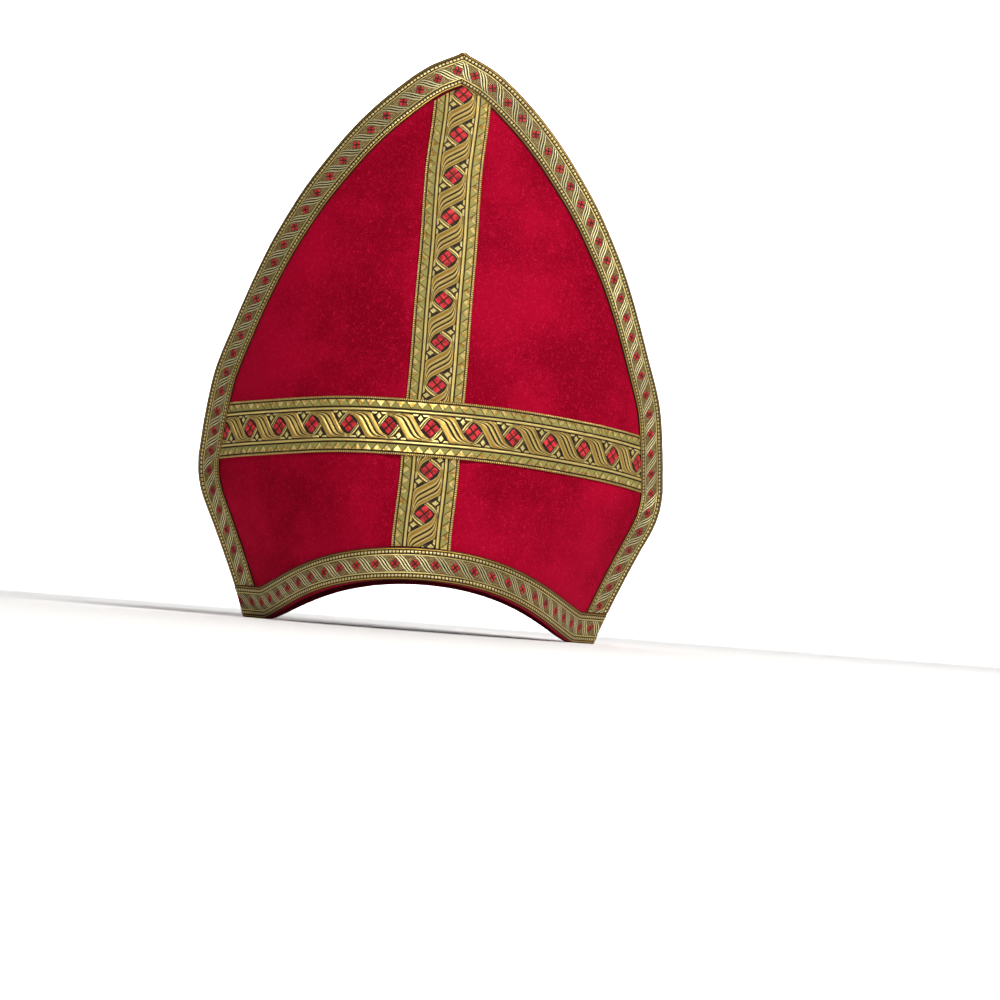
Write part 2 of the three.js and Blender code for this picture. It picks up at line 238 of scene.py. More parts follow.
class MitreColours(bpy.types.PropertyGroup):
    """Colours of the velvet, the lining and the threads."""

    velvet: hue("Velvet", "Pile of the shields", (0.37, 0.0012, 0.021))
    # The velvet's darker colour: brushed patches of the pile, and painted shade in its hollows.
    velvet_brushed_and_shaded: hue(
        "Velvet shade", "Brushed and hollow places of the pile", (0.22, 0.0004, 0.010))
    # The velvet's lighter colour: painted highlights on the tips of the pile.
    velvet_glint: hue(
        "Velvet fleck", "Tips of the pile that catch the light", (0.56, 0.010, 0.055))
    lining: hue("Lining", "Inside of the shields", (0.17, 0.003, 0.012))
    crown: hue("Crown", "Cloth folded between the horns", (0.26, 0.002, 0.016))
    gold: hue("Gold thread", "Ordinary metal thread", (0.62, 0.39, 0.085))
    # Light metal thread, with the painted highlights along the crests of the ribs.
    bright: hue("Bright thread", "Highlights of the metal thread", (0.97, 0.78, 0.28))
    tan: hue("Tan thread", "Broad floats of duller thread", (0.50, 0.26, 0.045))
    pale: hue("Pale thread", "Thin crossing threads", (0.74, 0.64, 0.27))
    cream: hue(
        "Cream thread", "Slanting threads and beads of the narrow braid", (1.0, 0.88, 0.46))
    olive: hue("Olive thread", "Dull ground thread", (0.15, 0.10, 0.025))
    # Dark ground thread, also laid as painted shade in the grooves between ribs, squares and
    # triangles and in the gaps between beads.
    shadow: hue("Ground thread", "Dark ground between the floats", (0.022, 0.011, 0.004))
    green: hue("Green thread", "Triangles along the wide braid", (0.36, 0.33, 0.09))
    red: hue("Red thread", "Diamonds of the braids", (0.66, 0.028, 0.036))


class MitreStage(bpy.types.PropertyGroup):
    """Camera, lights and floor."""

    lens: FloatProperty(name="Lens", description="Focal length", default=71.6, unit="CAMERA")
    distance: metres("Distance", "Camera to the mitre's middle", 1.3)
    sideways: metres("Sideways", "Camera's place to the right", 0.0146)
    eye_height: metres("Eye height", "Camera above the floor", 0.012)
    pan: degrees("Pan", "Camera turned right", -1.393)
    tilt: degrees("Tilt", "Camera tilted up", 3.391)
    roll: degrees("Roll", "Camera rolled", 4.481)
    floor: hue("Floor", "Floor and backdrop", (0.80, 0.80, 0.80))


def ease(t):
    """Smooth step of numbers, from 0 to 1."""
    t = np.clip(t, 0, 1)
    return t * t * (3 - 2 * t)


def lerp(a, b, t):
    return a + (b - a) * t


def through(table, up):
    """A smooth curve through a table's points."""
    x, y = np.array(table["up"], float), np.array(table["out"], float)
    index = np.arange(len(x))
    up = np.clip(up, 0, 1)
    k = np.clip(np.searchsorted(x, up, side="right") - 1, 0, index[-2])
    before, after = np.maximum(index - 1, 0), np.minimum(index + 1, index[-1])
    slope = (y[after] - y[before]) / (x[after] - x[before])
    span = x[k + 1] - x[k]
    t = (up - x[k]) / span
    bend = t * (1 - t) * span
    return lerp(y[k], y[k + 1], ease(t)) + bend * ((1 - t) * slope[k] - t * slope[k + 1])


class Shield:
    """The inner face of one shield, in millimetres: s along its arc from the middle, z up."""

    LEVELS = 366
    STEPS = 215

    def __init__(self, shape):
        self.shape = shape
        self.height = shape.height / MM
        self.widest = shape.widest_height / MM
        self.z = np.linspace(0, self.height, self.LEVELS)
        margin = np.full(self.LEVELS, shape.seam_turn_back)
        margin = margin * (1 - ease((self.z - self.widest) / (shape.seam_margin_fade / MM)))
        radius = self.bend_radius(self.z)
        self.run = self.march(self.half_width(self.z), radius, margin)
        edge = self.half_width(self.z)
        x, depth = self.run[0], self.run[1]
        place = np.arange(self.STEPS + 1.0)
        self.arc = np.array([np.interp(e, row, place) for e, row in zip(edge, x)])
        end = np.array([np.interp(a, place, row) for a, row in zip(self.arc, depth)])
        up = (self.z - self.widest) / (self.height - self.widest)
        line = lerp(shape.widest_half_depth / MM, shape.tip_half_depth / MM, up)
        self.front = SEAM_GAP + np.where(up > 0, np.maximum(line, end), end)

    def half_width(self, z):
        p = self.shape
        flare = through(SIDE_FLARE, z / self.widest)
        low = lerp(p.rim_half_width / MM, p.widest_half_width / MM, flare)
        share = through(HORN_OUTLINE, (z - self.widest) / (self.height - self.widest))
        high = np.maximum(p.tip_half_width / MM, p.widest_half_width / MM * share)
        return np.where(z <= self.widest, low, high)

    def march(self, edge, radius, turn_back):
        """Walks out from the middle a millimetre at a time, on every level at once."""
        turn = self.shape.side_turn
        x, depth = np.zeros_like(edge), np.zeros_like(edge)
        kept = [(x, depth, np.zeros_like(edge))]
        for k in range(self.STEPS):
            margin = ease(1 - (edge - x) / (self.shape.seam_margin / MM))
            angle = turn * np.tanh((k + 0.5) / (radius * turn)) - turn_back * margin
            x, depth = x + np.cos(angle), depth + np.sin(angle)
            kept.append((x, depth, angle))
        return np.array(kept).transpose(1, 2, 0)

    def bend_radius(self, z):
        """Bends that keep the middle of the face straight up to the widest place."""
        p = self.shape
        levels = np.linspace(0, 1, BEND_LEVELS)
        edge = self.half_width(levels * self.widest)
        wanted = lerp(p.rim_half_depth / MM, p.widest_half_depth / MM, levels)
        tight, loose = edge / BEND_RANGE, edge * BEND_RANGE
        place = np.arange(self.STEPS + 1.0)
        for _ in range(BEND_HALVINGS):
            radius = (tight + loose) / 2
            x, depth, _angle = self.march(edge, radius, p.seam_turn_back)
            arc = [np.interp(e, row, place) for e, row in zip(edge, x)]
            deep = np.array([np.interp(a, place, row) for a, row in zip(arc, depth)]) > wanted
            tight, loose = np.where(deep, radius, tight), np.where(deep, loose, radius)
        growth = 1 - np.exp(np.minimum(self.widest - z, 0) / (p.horn_radius_growth / MM))
        low = np.interp(z / self.widest, levels, tight)
        return np.where(z > self.widest, lerp(tight[-1], p.horn_radius / MM, growth), low)

    def half_arc(self, z):
        return np.interp(z, self.z, self.arc)

    def at(self, s, z, out):
        """Points a level distance out from the inner face, in metres."""
        s, z, out = np.broadcast_arrays(*(np.asarray(v, float) for v in (s, z, out)))
        level = np.clip(z / self.height * (self.LEVELS - 1), 0, self.LEVELS - 1.001)
        along = np.clip(np.abs(s), 0, self.STEPS - 0.001)
        i, j = level.astype(int), along.astype(int)
        a, b = level - i, along - j
        x, depth, angle = (
            lerp(lerp(g[i, j], g[i, j + 1], b), lerp(g[i + 1, j], g[i + 1, j + 1], b), a)
            for g in self.run)
        front = np.interp(z, self.z, self.front)
        x = np.sign(s) * (x + out * np.sin(angle))
        y = depth - front - out * np.cos(angle)
        return np.stack([x, y, z], axis=-1) * MM

    def rim(self, s):
        p = self.shape
        share = np.clip(np.abs(s) / (p.rim_arch_half_length / MM), 0, 1)
        return p.rim_arch / MM * np.cos(np.pi / 2 * share) ** p.rim_arch_fullness

    def inset(self, distance, turn=0):
        """The outline moved in by a distance, as s and z from the rim to past the middle line.

        turn is the length over which the rows across a braid swing round the widest place.
        """
        z = np.linspace(0, self.height, OUTLINE_POINTS)
        inward = np.stack([-np.gradient(z), np.gradient(self.half_arc(z))])
        inward /= np.hypot(*inward)
        if turn:
            window = np.hanning(int(turn / z[1]) | 1)
            padded = np.pad(inward, ((0, 0), (len(window) // 2,) * 2), mode="edge")
            window /= window.sum()
            swung = np.array([np.convolve(row, window, mode="valid") for row in padded])
            swung = lerp(inward, swung, 1 - ease((np.abs(z - self.widest) - turn) / turn))
            inward = swung / (inward * swung).sum(axis=0)
        s, up = self.half_arc(z) + inward[0] * distance, z + inward[1] * distance
        s, up = np.append(s, 2 * s[-1] - s[-2]), np.append(up, 2 * up[-1] - up[-2])
        up = np.minimum(up, self.height - distance)
        stop = np.argmax(s < 0) + 1 if (s < 0).any() else len(s)
        return s[:stop], up[:stop]

    def cross_line(self, s, level):
        """Height of a line of the cross braid at s, for its height in the middle."""
        depth = (self.at(s, level, 0)[..., 1] - self.at(0 * s, level, 0)[..., 1]) / MM
        return level - math.tan(self.shape.cross_lean) * depth


NUMBERS = {
    "ADD": np.add, "SUBTRACT": np.subtract, "MULTIPLY": np.multiply, "DIVIDE": np.divide,
    "POWER": np.power, "ABSOLUTE": np.abs, "MAXIMUM": np.maximum, "FLOORED_MODULO": np.mod,
    "SINE": np.sin, "SIGN": np.sign,
}


class Wire:
    """A value inside a material, which adds and multiplies as a number does."""

    def __init__(self, cloth, socket):
        self.cloth, self.socket = cloth, socket

    def __add__(self, other):
        return calc("ADD", self, other)

    def __radd__(self, other):
        return calc("ADD", other, self)

    def __sub__(self, other):
        return calc("SUBTRACT", self, other)

    def __rsub__(self, other):
        return calc("SUBTRACT", other, self)

    def __mul__(self, other):
        return calc("MULTIPLY", self, other)

    def __rmul__(self, other):
        return calc("MULTIPLY", other, self)

    def __truediv__(self, other):
        return calc("DIVIDE", self, other)

    def __rtruediv__(self, other):
        return calc("DIVIDE", other, self)

    def __mod__(self, other):
        return calc("FLOORED_MODULO", self, other)

    def __pow__(self, other):
        return calc("POWER", self, other)

    def __abs__(self):
        return calc("ABSOLUTE", self)


def calc(operation, *values):
    """One sum, on numbers or on wires."""
    wires = [v for v in values if isinstance(v, Wire)]
    if not wires:
        return NUMBERS[operation](*values)
    sockets = dict(enumerate(values))
    return wires[0].cloth.node("ShaderNodeMath", {"operation": operation}, sockets)[0]


def rise(x, low, high):
    """Smooth step from 0 at low to 1 at high, on numbers or on a wire."""
    if not isinstance(x, Wire):
        return ease((x - low) / (high - low))
    sockets = {"Value": x, "From Min": low, "From Max": high}
    smooth = {"interpolation_type": "SMOOTHSTEP"}
    return x.cloth.node("ShaderNodeMapRange", smooth, sockets)["Result"]


def fall(x, low, high):
    """Smooth step from 1 at low to 0 at high, on numbers or on a wire."""
    return rise(0 - x, -high, -low)


def between(x, half, soft):
    """1 within half of the middle, on numbers or on a wire."""
    return fall(abs(x), half - soft, half + soft)


def wave(x, period):
    return calc("SINE", x * (2 * math.pi / period))


class Cloth:
    """One material and the nodes in it."""

    def __init__(self, name):
        self.material = bpy.data.materials.new(name)
        self.material.use_nodes = True
        self.tree = self.material.node_tree
        self.tree.nodes.clear()

    def node(self, kind, settings=None, sockets=None):
        """Makes a node, with its settings first and then its sockets' values or links."""
        made = self.tree.nodes.new(kind)
        for key, value in (settings or {}).items():
            setattr(made, key, value)
        for key, value in (sockets or {}).items():
            if isinstance(value, Wire):
                self.tree.links.new(value.socket, made.inputs[key])
            else:
                made.inputs[key].default_value = value
        return Outputs(self, made)

    def mix(self, share, a, b):
        """A colour between two colours."""
        settings = {"data_type": "RGBA"}
        return self.node("ShaderNodeMix", settings, {0: share, 6: a, 7: b})[2]

    def noise(self, where, scale, detail=2.0, roughness=0.5):
        sockets = {"Vector": where, "Scale": scale, "Detail": detail, "Roughness": roughness}
        return self.node("ShaderNodeTexNoise", {"noise_dimensions": "3D"}, sockets)["Fac"]

    def ramp(self, x, table, colours):
        """Looks a table of woven lines up: the thread's colour and the relief in millimetres."""
        low, high = table[0][0], table[-1][0]
        made = self.node("ShaderNodeValToRGB", None, {"Fac": (x - low) / (high - low)})
        ramp = made.made.color_ramp
        for _ in table[2:]:
            ramp.elements.new(0.5)
        for stop, (at, relief, thread) in zip(ramp.elements, table):
            stop.position = (at - low) / (high - low)
            stop.color = (*colours[thread], relief)
        return made["Color"], made["Alpha"]

    def finish(self, surface, height=None, strength=1.0, depth=1.0):
        """The surface shader, with a bump of a depth in millimetres, and the material's output."""
        if height is not None:
            sockets = {"Height": height, "Strength": strength, "Distance": depth * MM}
            surface["Normal"] = self.node("ShaderNodeBump", None, sockets)["Normal"]
        shader = self.node("ShaderNodeBsdfPrincipled", None, surface)
        self.node("ShaderNodeOutputMaterial", None, {"Surface": shader["BSDF"]})
        return self.material


class Outputs:
    """A node's outputs, by name or number."""

    def __init__(self, cloth, made):
        self.cloth, self.made = cloth, made

    def __getitem__(self, key):
        return Wire(self.cloth, self.made.outputs[key])


def rgba(colour, light=1.0):
    return (*(light * v for v in colour), 1.0)


def cushion(m, n, gap):
    """Relief of a diamond of four small squares, from 0 in its grooves to 1 on its squares."""
    both = 1
    for side in (abs(m), abs(n)):
        both = both * rise(side, gap * 0.55, gap * 1.4) * rise(1 - side, 0, gap)
    return both


def wide_places(across, along):
    """Where the parts of the wide braid's pattern lie: shares of each and their own coordinates.

    The pattern looks the same turned half round: side is 1 above the middle line, -1 below it.
    """
    side = calc("SIGN", across)
    far = abs(across)
    tip = (far / WIDE_FIELD) ** 5
    near = (along + WIDE_PITCH / 2) % WIDE_PITCH - WIDE_PITCH / 2
    shift = WIDE_PITCH / 2 + WIDE_SHIFT * side
    strand = (along + WIDE_SHIFT * side) % WIDE_PITCH - shift
    tuck = calc("MAXIMUM", 0, WIDE_SHIFT - side * strand)
    q = strand + WIDE_SLANT * across + side * tuck * tip
    under = abs(near - WIDE_SLANT * across - 3 * side * tip)
    m = near / DIAMOND_HALF_LENGTH + across / DIAMOND_HALF_WIDTH
    n = near / DIAMOND_HALF_LENGTH - across / DIAMOND_HALF_WIDTH
    inside = calc("MAXIMUM", abs(m), abs(n))
    leaf = abs(near + 6.8 * side) / 1.7 + abs(far - 5.7) / 2.2
    step = (along / TRIANGLE_PITCH) % 1 * 2 - 1
    zigzag = abs(step) + (far - STRIPE_START) / TRIANGLE_HEIGHT
    return {
        "strand": between(q, WIDE_STRAND_HALF, 0.1), "strand_at": q, "under_at": under,
        "diamond": fall(inside, 0.97, 1.03), "cushion": cushion(m, n, 0.1),
        "leaf": rise(under, 8.1, 8.3) * calc(
            "MAXIMUM", fall(leaf, 0.85, 1), rise(leaf, 1.6, 1.8) * rise(far, 6.9, 7.1)),
        "edge": rise(far, WIDE_FIELD - 0.25, WIDE_FIELD - 0.1), "edge_at": far,
        "stripe": between(far - STRIPE_MIDDLE, STRIPE_HALF, 0.12),
        "green": fall(zigzag, 0.96, 1.04),
        "groove": between(zigzag - 1, 0.09, 0.06) * (0.35 + 0.65 * rise(step, -0.1, 0.1)),
    }


def narrow_places(across, along):
    """The same for the narrow braid."""
    slant = across * (NARROW_SLANT + 0.012 * across * across)
    q = (along + slant) % NARROW_PITCH - NARROW_PITCH / 2
    near = (along + NARROW_PITCH / 2) % NARROW_PITCH - NARROW_PITCH / 2
    m, n = (near + across) / NARROW_DIAMOND_HALF, (near - across) / NARROW_DIAMOND_HALF
    inside = calc("MAXIMUM", abs(m), abs(n))
    dots = wave(along + across, DOT_PERIOD) * wave(along - across, DOT_PERIOD)
    return {
        "strand": between(q, NARROW_STRAND_HALF, 0.1), "strand_at": q,
        "diamond": fall(inside, 0.95, 1.05), "cushion": cushion(m, n, 0.17),
        "dots": dots,
        "edge": rise(abs(across), NARROW_FIELD - 0.1, NARROW_FIELD + 0.1), "edge_at": abs(across),
    }


def relief_of(table, x):
    at, relief = [row[0] for row in table], [row[1] for row in table]
    return np.interp(x, at, relief)


def wide_relief(across, along):
    """Height of the wide braid's weave in millimetres, at many points."""
    p = wide_places(across, along)
    height = relief_of(WIDE_UNDER, p["under_at"])
    height = lerp(height, LEAF_RELIEF, p["leaf"])
    height = lerp(height, DIAMOND_RELIEF * p["cushion"], p["diamond"])
    height = lerp(height, relief_of(WIDE_STRAND, p["strand_at"]), p["strand"])
    edge = relief_of(WIDE_EDGE, p["edge_at"]) - GROOVE_DEPTH * p["groove"] * p["stripe"]
    return lerp(height, edge, p["edge"])


def narrow_relief(across, along):
    """The same for the narrow braid."""
    p = narrow_places(across, along)
    height = lerp(GROUND_RELIEF, relief_of(NARROW_STRAND, p["strand_at"]), p["strand"])
    height = lerp(height, NARROW_DIAMOND_RELIEF * p["cushion"], p["diamond"])
    return lerp(height, relief_of(NARROW_EDGE, p["edge_at"]), p["edge"])


def braid_material(name, colours, wide):
    """Woven metal thread over a dark ground, with painted highlights and painted shade in its
    colour, and the braid's own coordinates for its pattern.
    """
    cloth = Cloth(name)
    threads = {key: tuple(getattr(colours, key)) for key in THREADS}
    uv = cloth.node("ShaderNodeUVMap", {"uv_map": "Weave"})["UV"]
    parted = cloth.node("ShaderNodeSeparateXYZ", None, {"Vector": uv})
    across, along = parted["X"] * 1000, parted["Y"] * 1000
    grain = cloth.noise(uv, 2200, 2.0, 0.6)
    glint_patches = cloth.noise(uv, 90, 2.0)
    places = (wide_places if wide else narrow_places)(across, along)
    # Painted highlights and painted shade in random patches, as facets catching the light or not.
    glint_and_shade = rise(0.7 * cloth.noise(uv, 330, 1.0) + 0.3 * grain, 0.38, 0.62)
    shadow = rgba(threads["shadow"])
    # The diamonds' squares swing between a shaded and a lit copy of the red.
    red = cloth.mix(glint_and_shade, rgba(threads["red"], 0.5), rgba(threads["red"], 1.35))
    # The grooves between the diamond's four squares take the dark ground colour as painted shade.
    red = cloth.mix(places["cushion"], shadow, red)
    edge_table, strand_table = (WIDE_EDGE, WIDE_STRAND) if wide else (NARROW_EDGE, NARROW_STRAND)
    line, line_relief = cloth.ramp(places["strand_at"], strand_table, threads)
    edge, edge_relief = cloth.ramp(places["edge_at"], edge_table, threads)
    beads = abs(wave(along, 2 * (WIDE_BEAD if wide else NARROW_BEAD)))
    if wide:
        colour, relief = cloth.ramp(places["under_at"], WIDE_UNDER, threads)
        colour = cloth.mix(places["leaf"], colour, rgba(threads["bright"]))
        relief = lerp(relief, LEAF_RELIEF, places["leaf"])
        # The triangles' gold swings between tan as painted shade and bright as painted glints.
        triangle = cloth.mix(glint_and_shade, rgba(threads["tan"]), rgba(threads["bright"]))
        triangle = cloth.mix(places["green"], triangle, rgba(threads["green"]))
        # The grooves beside the green triangles take the dark ground colour as painted shade,
        # darker along one slope.
        triangle = cloth.mix(places["groove"], triangle, shadow)
        edge = cloth.mix(places["stripe"], edge, triangle)
        edge_relief = edge_relief - GROOVE_DEPTH * places["groove"] * places["stripe"]
        beaded = rise(places["edge_at"], WIDE_BEADS_START, WIDE_BEADS_START + 0.2)
    else:
        dots = places["dots"] + 2.4 * (grain - 0.5)
        colour = cloth.mix(rise(dots, 0.0, 0.35), shadow, rgba(threads["tan"]))
        colour = cloth.mix(rise(dots, 0.5, 0.85), colour, rgba(threads["cream"]))
        relief = GROUND_RELIEF + 0.08 * places["dots"]
        beaded = between(places["edge_at"] - BEADS_AT, BEADS_HALF, 0.1)
    steps = [("strand", line, line_relief), ("diamond", red, DIAMOND_RELIEF * places["cushion"])]
    for place, over, height in (steps[::-1] if wide else steps):
        colour = cloth.mix(places[place], colour, over)
        relief = lerp(relief, height, places[place])
    # The gaps between beads take the dark ground colour as painted shade.
    gap = beaded * fall(beads, 0.3, 0.62)
    edge = cloth.mix(gap, edge, shadow)
    edge_relief = edge_relief * (1 - 0.6 * gap)
    colour = cloth.mix(places["edge"], colour, edge)
    relief = lerp(relief, edge_relief, places["edge"])
    shine = rise(relief, 0.06, 0.16) * (1 - places["diamond"] * (1 - places["edge"]))
    if wide:
        shine = shine * (1 - 0.7 * places["stripe"] * places["green"])
    slant = along + (0.9 if wide else 0.7) * across
    fine = wave(slant, THREAD) * shine
    # The colour is scaled by painted light: painted glints in random patches, the single threads
    # lightened along their raised crests as painted highlight, and fine grain.
    light = (0.76 if wide else 0.66) + 0.25 * glint_patches + 0.2 * fine + 0.8 * (grain - 0.5)
    sockets = {"Vector": colour, "Scale": light}
    colour = cloth.node("ShaderNodeVectorMath", {"operation": "SCALE"}, sockets)
    return cloth.finish({
        "Base Color": colour["Vector"], "Metallic": 0.78 * shine,
        "Roughness": 0.62 - 0.3 * shine + 0.2 * (grain - 0.5), "Specular IOR Level": 0.25,
    }, relief + 0.035 * fine + 0.09 * grain, 1.0, 1.3)


def velvet_material(name, colours):
    """Short soft pile: brushed lighter and darker patches with painted shade in the pile's hollows,
    painted highlights on the tips of the pile, and a glow at its edges.
    """
    cloth = Cloth(name)
    place = cloth.node("ShaderNodeTexCoord")["Object"]
    brushed = cloth.noise(place, 16, 3.0, 0.5)
    cloudy = cloth.noise(place, 110, 3.0, 0.6)
    fleck = cloth.noise(place, 420, 2.0, 0.65)
    tuft = cloth.noise(place, 1100, 2.0, 0.6)
    # tone picks the darker colour in random brushed patches and, with the bump's tufts, as painted
    # shade in the pile's hollows.
    tone = rise(0.62 * brushed + 0.1 * cloudy + 0.28 * tuft, 0.4, 0.6)
    colour = cloth.mix(tone, rgba(colours.velvet_brushed_and_shaded), rgba(colours.velvet))
    # Painted highlights: the tips of the pile, where the bump's tufts rise, are lightened as if
    # they caught the light.
    pile_glints = 0.55 * rise(0.35 * fleck + 0.65 * tuft, 0.52, 0.66)
    colour = cloth.mix(pile_glints, colour, rgba(colours.velvet_glint))
    return cloth.finish({
        "Base Color": colour, "Roughness": 0.95 - 0.15 * tone, "Specular IOR Level": 0.03,
        "Sheen Weight": 0.25, "Sheen Roughness": 0.4, "Sheen Tint": (1.0, 0.015, 0.1, 1.0),
    }, 0.15 * cloudy + 0.2 * fleck + 0.35 * tuft, 0.5, 0.6)


def plain_material(name, shade):
    """Plain woven cloth, a little worn."""
    cloth = Cloth(name)
    place = cloth.node("ShaderNodeTexCoord")["Object"]
    parted = cloth.node("ShaderNodeSeparateXYZ", None, {"Vector": place})
    warp = wave(parted["X"] + 0.5 * parted["Y"], PLAIN_THREAD * MM)
    weave = warp * wave(parted["Z"], PLAIN_THREAD * MM)
    worn = cloth.noise(place, 40, 3.0)
    tone = 0.5 + 0.2 * weave + 0.8 * (worn - 0.5)
    return cloth.finish({
        "Base Color": cloth.mix(tone, rgba(shade, 0.6), rgba(shade, 1.35)),
        "Roughness": 0.8 + 0.1 * worn, "Specular IOR Level": 0.12,
        "Sheen Weight": 0.15, "Sheen Roughness": 0.5, "Sheen Tint": (1.0, 0.05, 0.12, 1.0),
    }, weave, 0.35, 0.15)


def material(name, make, *args):
    """A material by name, made the first time it is asked for."""
    return bpy.data.materials.get(name) or make(name, *args)


def turned(points, back):
    """The back is the front turned half round."""
    return points * np.array([-1, -1, 1]) if back else points


def place_piece(name, node, points, faces, cloths, of_slot=None, uvs=None, sharp=40):
    """Makes a piece's object, hangs it under the root, hides the frame's part that it stands for,
    and returns it.
    """
    mesh = bpy.data.meshes.new(name)
    mesh.from_pydata(points.tolist(), [], faces)
    mesh.validate()
    mesh.update()
    for cloth in cloths:
        mesh.materials.append(cloth)
    if of_slot is not None:
        mesh.polygons.foreach_set("material_index", of_slot.astype(np.int32))
    mesh.polygons.foreach_set("use_smooth", np.ones(len(mesh.polygons), dtype=bool))
    if uvs is not None:
        corners = np.empty(len(mesh.loops), dtype=np.int32)
        mesh.loops.foreach_get("vertex_index", corners)
        layer = mesh.uv_layers.new(name="Weave")
        layer.uv.foreach_set("vector", (uvs[corners] * MM).astype(np.float32).ravel())
    mesh.set_sharp_from_angle(angle=math.radians(sharp))
    piece = bpy.data.objects.new(name, mesh)
    bpy.context.scene.collection.objects.link(piece)
    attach(piece, "root")
    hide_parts(node)
    return piece


def grid_faces(rows, columns, first=0, flip=False):
    """Quads of a grid of points, row by row."""
    index = first + np.arange(rows * columns).reshape(rows, columns)
    quads = np.stack([index[:-1, :-1], index[:-1, 1:], index[1:, 1:], index[1:, :-1]], axis=-1)
    quads = quads.reshape(-1, 4)
    return (quads[:, ::-1] if flip else quads).tolist()


def rim_loop(rows, columns):
    """The border of a grid of points, as indices in order round it."""
    index = np.arange(rows * columns).reshape(rows, columns)
    return np.concatenate([index[0, :-1], index[:-1, -1], index[-1, :0:-1], index[:0:-1, 0]])


def sewn_shell(outer, inner, bulge, rounds=3):
    """Points and faces of a closed sheet: two grids and a rounded edge from one to the other.

    bulge is how far the edge swells out at each grid point, as a share of half the thickness.
    """
    rows, columns = outer.shape[:2]
    count = rows * columns
    points = [outer.reshape(-1, 3), inner.reshape(-1, 3)]
    faces = grid_faces(rows, columns) + grid_faces(rows, columns, count, flip=True)
    loop = rim_loop(rows, columns)
    a, b = points[0][loop], points[1][loop]
    middle, half = (a + b) / 2, (a - b) / 2
    ahead = np.roll(middle, -1, axis=0) - np.roll(middle, 1, axis=0)
    away = np.cross(ahead, half)
    away *= (np.linalg.norm(half, axis=1) / np.linalg.norm(away, axis=1))[:, None]
    away *= np.broadcast_to(bulge, (rows, columns)).ravel()[loop][:, None]
    rings = [loop]
    first = 2 * count
    for k in range(1, rounds + 1):
        angle = math.pi * k / (rounds + 1)
        points.append(middle + half * math.cos(angle) + away * math.sin(angle))
        rings.append(first + np.arange(len(loop)))
        first += len(loop)
    rings.append(loop + count)
    for upper, lower in zip(rings[:-1], rings[1:]):
        quads = np.stack([upper, lower, np.roll(lower, -1), np.roll(upper, -1)], axis=-1)
        faces += quads.tolist()
    return np.concatenate(points), faces


def ribbon(top, under, uv_top):
    """Points, faces and braid coordinates of a braid: a fine top over a few plain strips below."""
    rows, columns = top.shape[:2]
    strips = under.shape[1]
    count = rows * columns
    faces = grid_faces(rows, columns) + grid_faces(rows, strips, count, flip=True)
    low = count + np.arange(rows * strips).reshape(rows, strips)
    high = np.arange(count).reshape(rows, columns)
    for side, down, up in ((0, low, high), (-1, high, low)):
        a, b = down[:, side], up[:, side]
        faces += np.stack([a[:-1], b[:-1], b[1:], a[1:]], axis=-1).tolist()
    faces.append([*high[0, ::-1], *low[0]])
    faces.append([*high[-1], *low[-1, ::-1]])
    pick = np.linspace(0, columns - 1, strips).round().astype(int)
    uvs = np.concatenate([uv_top.reshape(-1, 2), uv_top[:, pick].reshape(-1, 2)])
    return np.concatenate([top.reshape(-1, 3), under.reshape(-1, 3)]), faces, uvs


def lanes(edge_table, field):
    """Places across a braid, from edge to edge, with one on each woven line's shoulder."""
    side = [row[0] for row in edge_table if row[0] > field]
    gaps = [x for a, b in zip(side, side[1:]) if b - a > 1.5 for x in np.linspace(a, b, 5)[1:-1]]
    side = sorted(side + gaps)
    middle = np.linspace(-field, field, int(2 * field / THREAD) + 1)
    return np.array([-x for x in side[::-1]] + middle.tolist() + side)


def run_of(s, z):
    """Length along a line up to each of its points."""
    return np.concatenate([[0], np.cumsum(np.hypot(np.diff(s), np.diff(z)))])


def waver(along, seed, size, length):
    """A slow hand-sewn waver along a braid."""
    rng = np.random.default_rng(seed)
    waves = [(rng.uniform(0.6, 1.6) * length, rng.uniform(0, 2 * math.pi)) for _ in range(4)]
    return size * sum(np.sin(2 * math.pi * along / w + p) for w, p in waves) / 2


def braid_piece(name, node, kind, back, across, along, s, z, lift=0.0, mirrored=False):
    """One braid, from each point's place on the shield and in the pattern.

    lift is its foot's height over the velvet, and a mirrored braid's lanes run the other way.
    """
    scene = bpy.context.scene
    shape, wide = scene.mitre_shape, kind == "wide"
    way = slice(None) if mirrored else slice(None, None, -1)
    across, along, s, z, lift = (
        np.broadcast_to(part, s.shape)[:, way] for part in (across, along, s, z, lift))
    relief = (wide_relief if wide else narrow_relief)(across, along)
    foot = shape.thickness / MM + UNDER_GAP + lift
    shield = Shield(shape)
    top = shield.at(s, z, foot + shape.braid_thickness / MM + relief)
    pick = np.linspace(0, s.shape[1] - 1, UNDER_STRIPS).round().astype(int)
    under = shield.at(s[:, pick], z[:, pick], foot[:, pick])
    points, faces, uvs = ribbon(top, under, np.stack([across, along], axis=-1))
    cloth = material(kind + " braid", braid_material, scene.mitre_colours, wide)
    place_piece(name, node, turned(points, back), faces, [cloth], uvs=uvs)


def crowded(t):
    """Steps from -1 to 1 that come closer together towards both ends."""
    return lerp(t, np.sin(t * math.pi / 2), 0.6)


def pile_height(shield, s, z):
    """How far the pile swells over the board: nothing under a braid, most in the open fields."""
    p = shield.shape
    wide, narrow = p.wide_braid / MM / 2, (p.narrow_braid + p.velvet_margin) / MM
    slope = np.gradient(shield.arc, shield.z)
    square = 1 / np.sqrt(1 + np.interp(z, shield.z, slope) ** 2)
    cross = shield.cross_line(s, p.cross_height / MM)
    gaps = [
        np.abs(s) - wide,
        np.abs(z - cross) - wide,
        (shield.half_arc(z) - np.abs(s)) * square - narrow,
        z - shield.rim(s) - narrow,
    ]
    gap = np.maximum(np.minimum.reduce(gaps), 0)
    return p.pile / MM * (1 - np.exp(-gap / PILE_RISE))


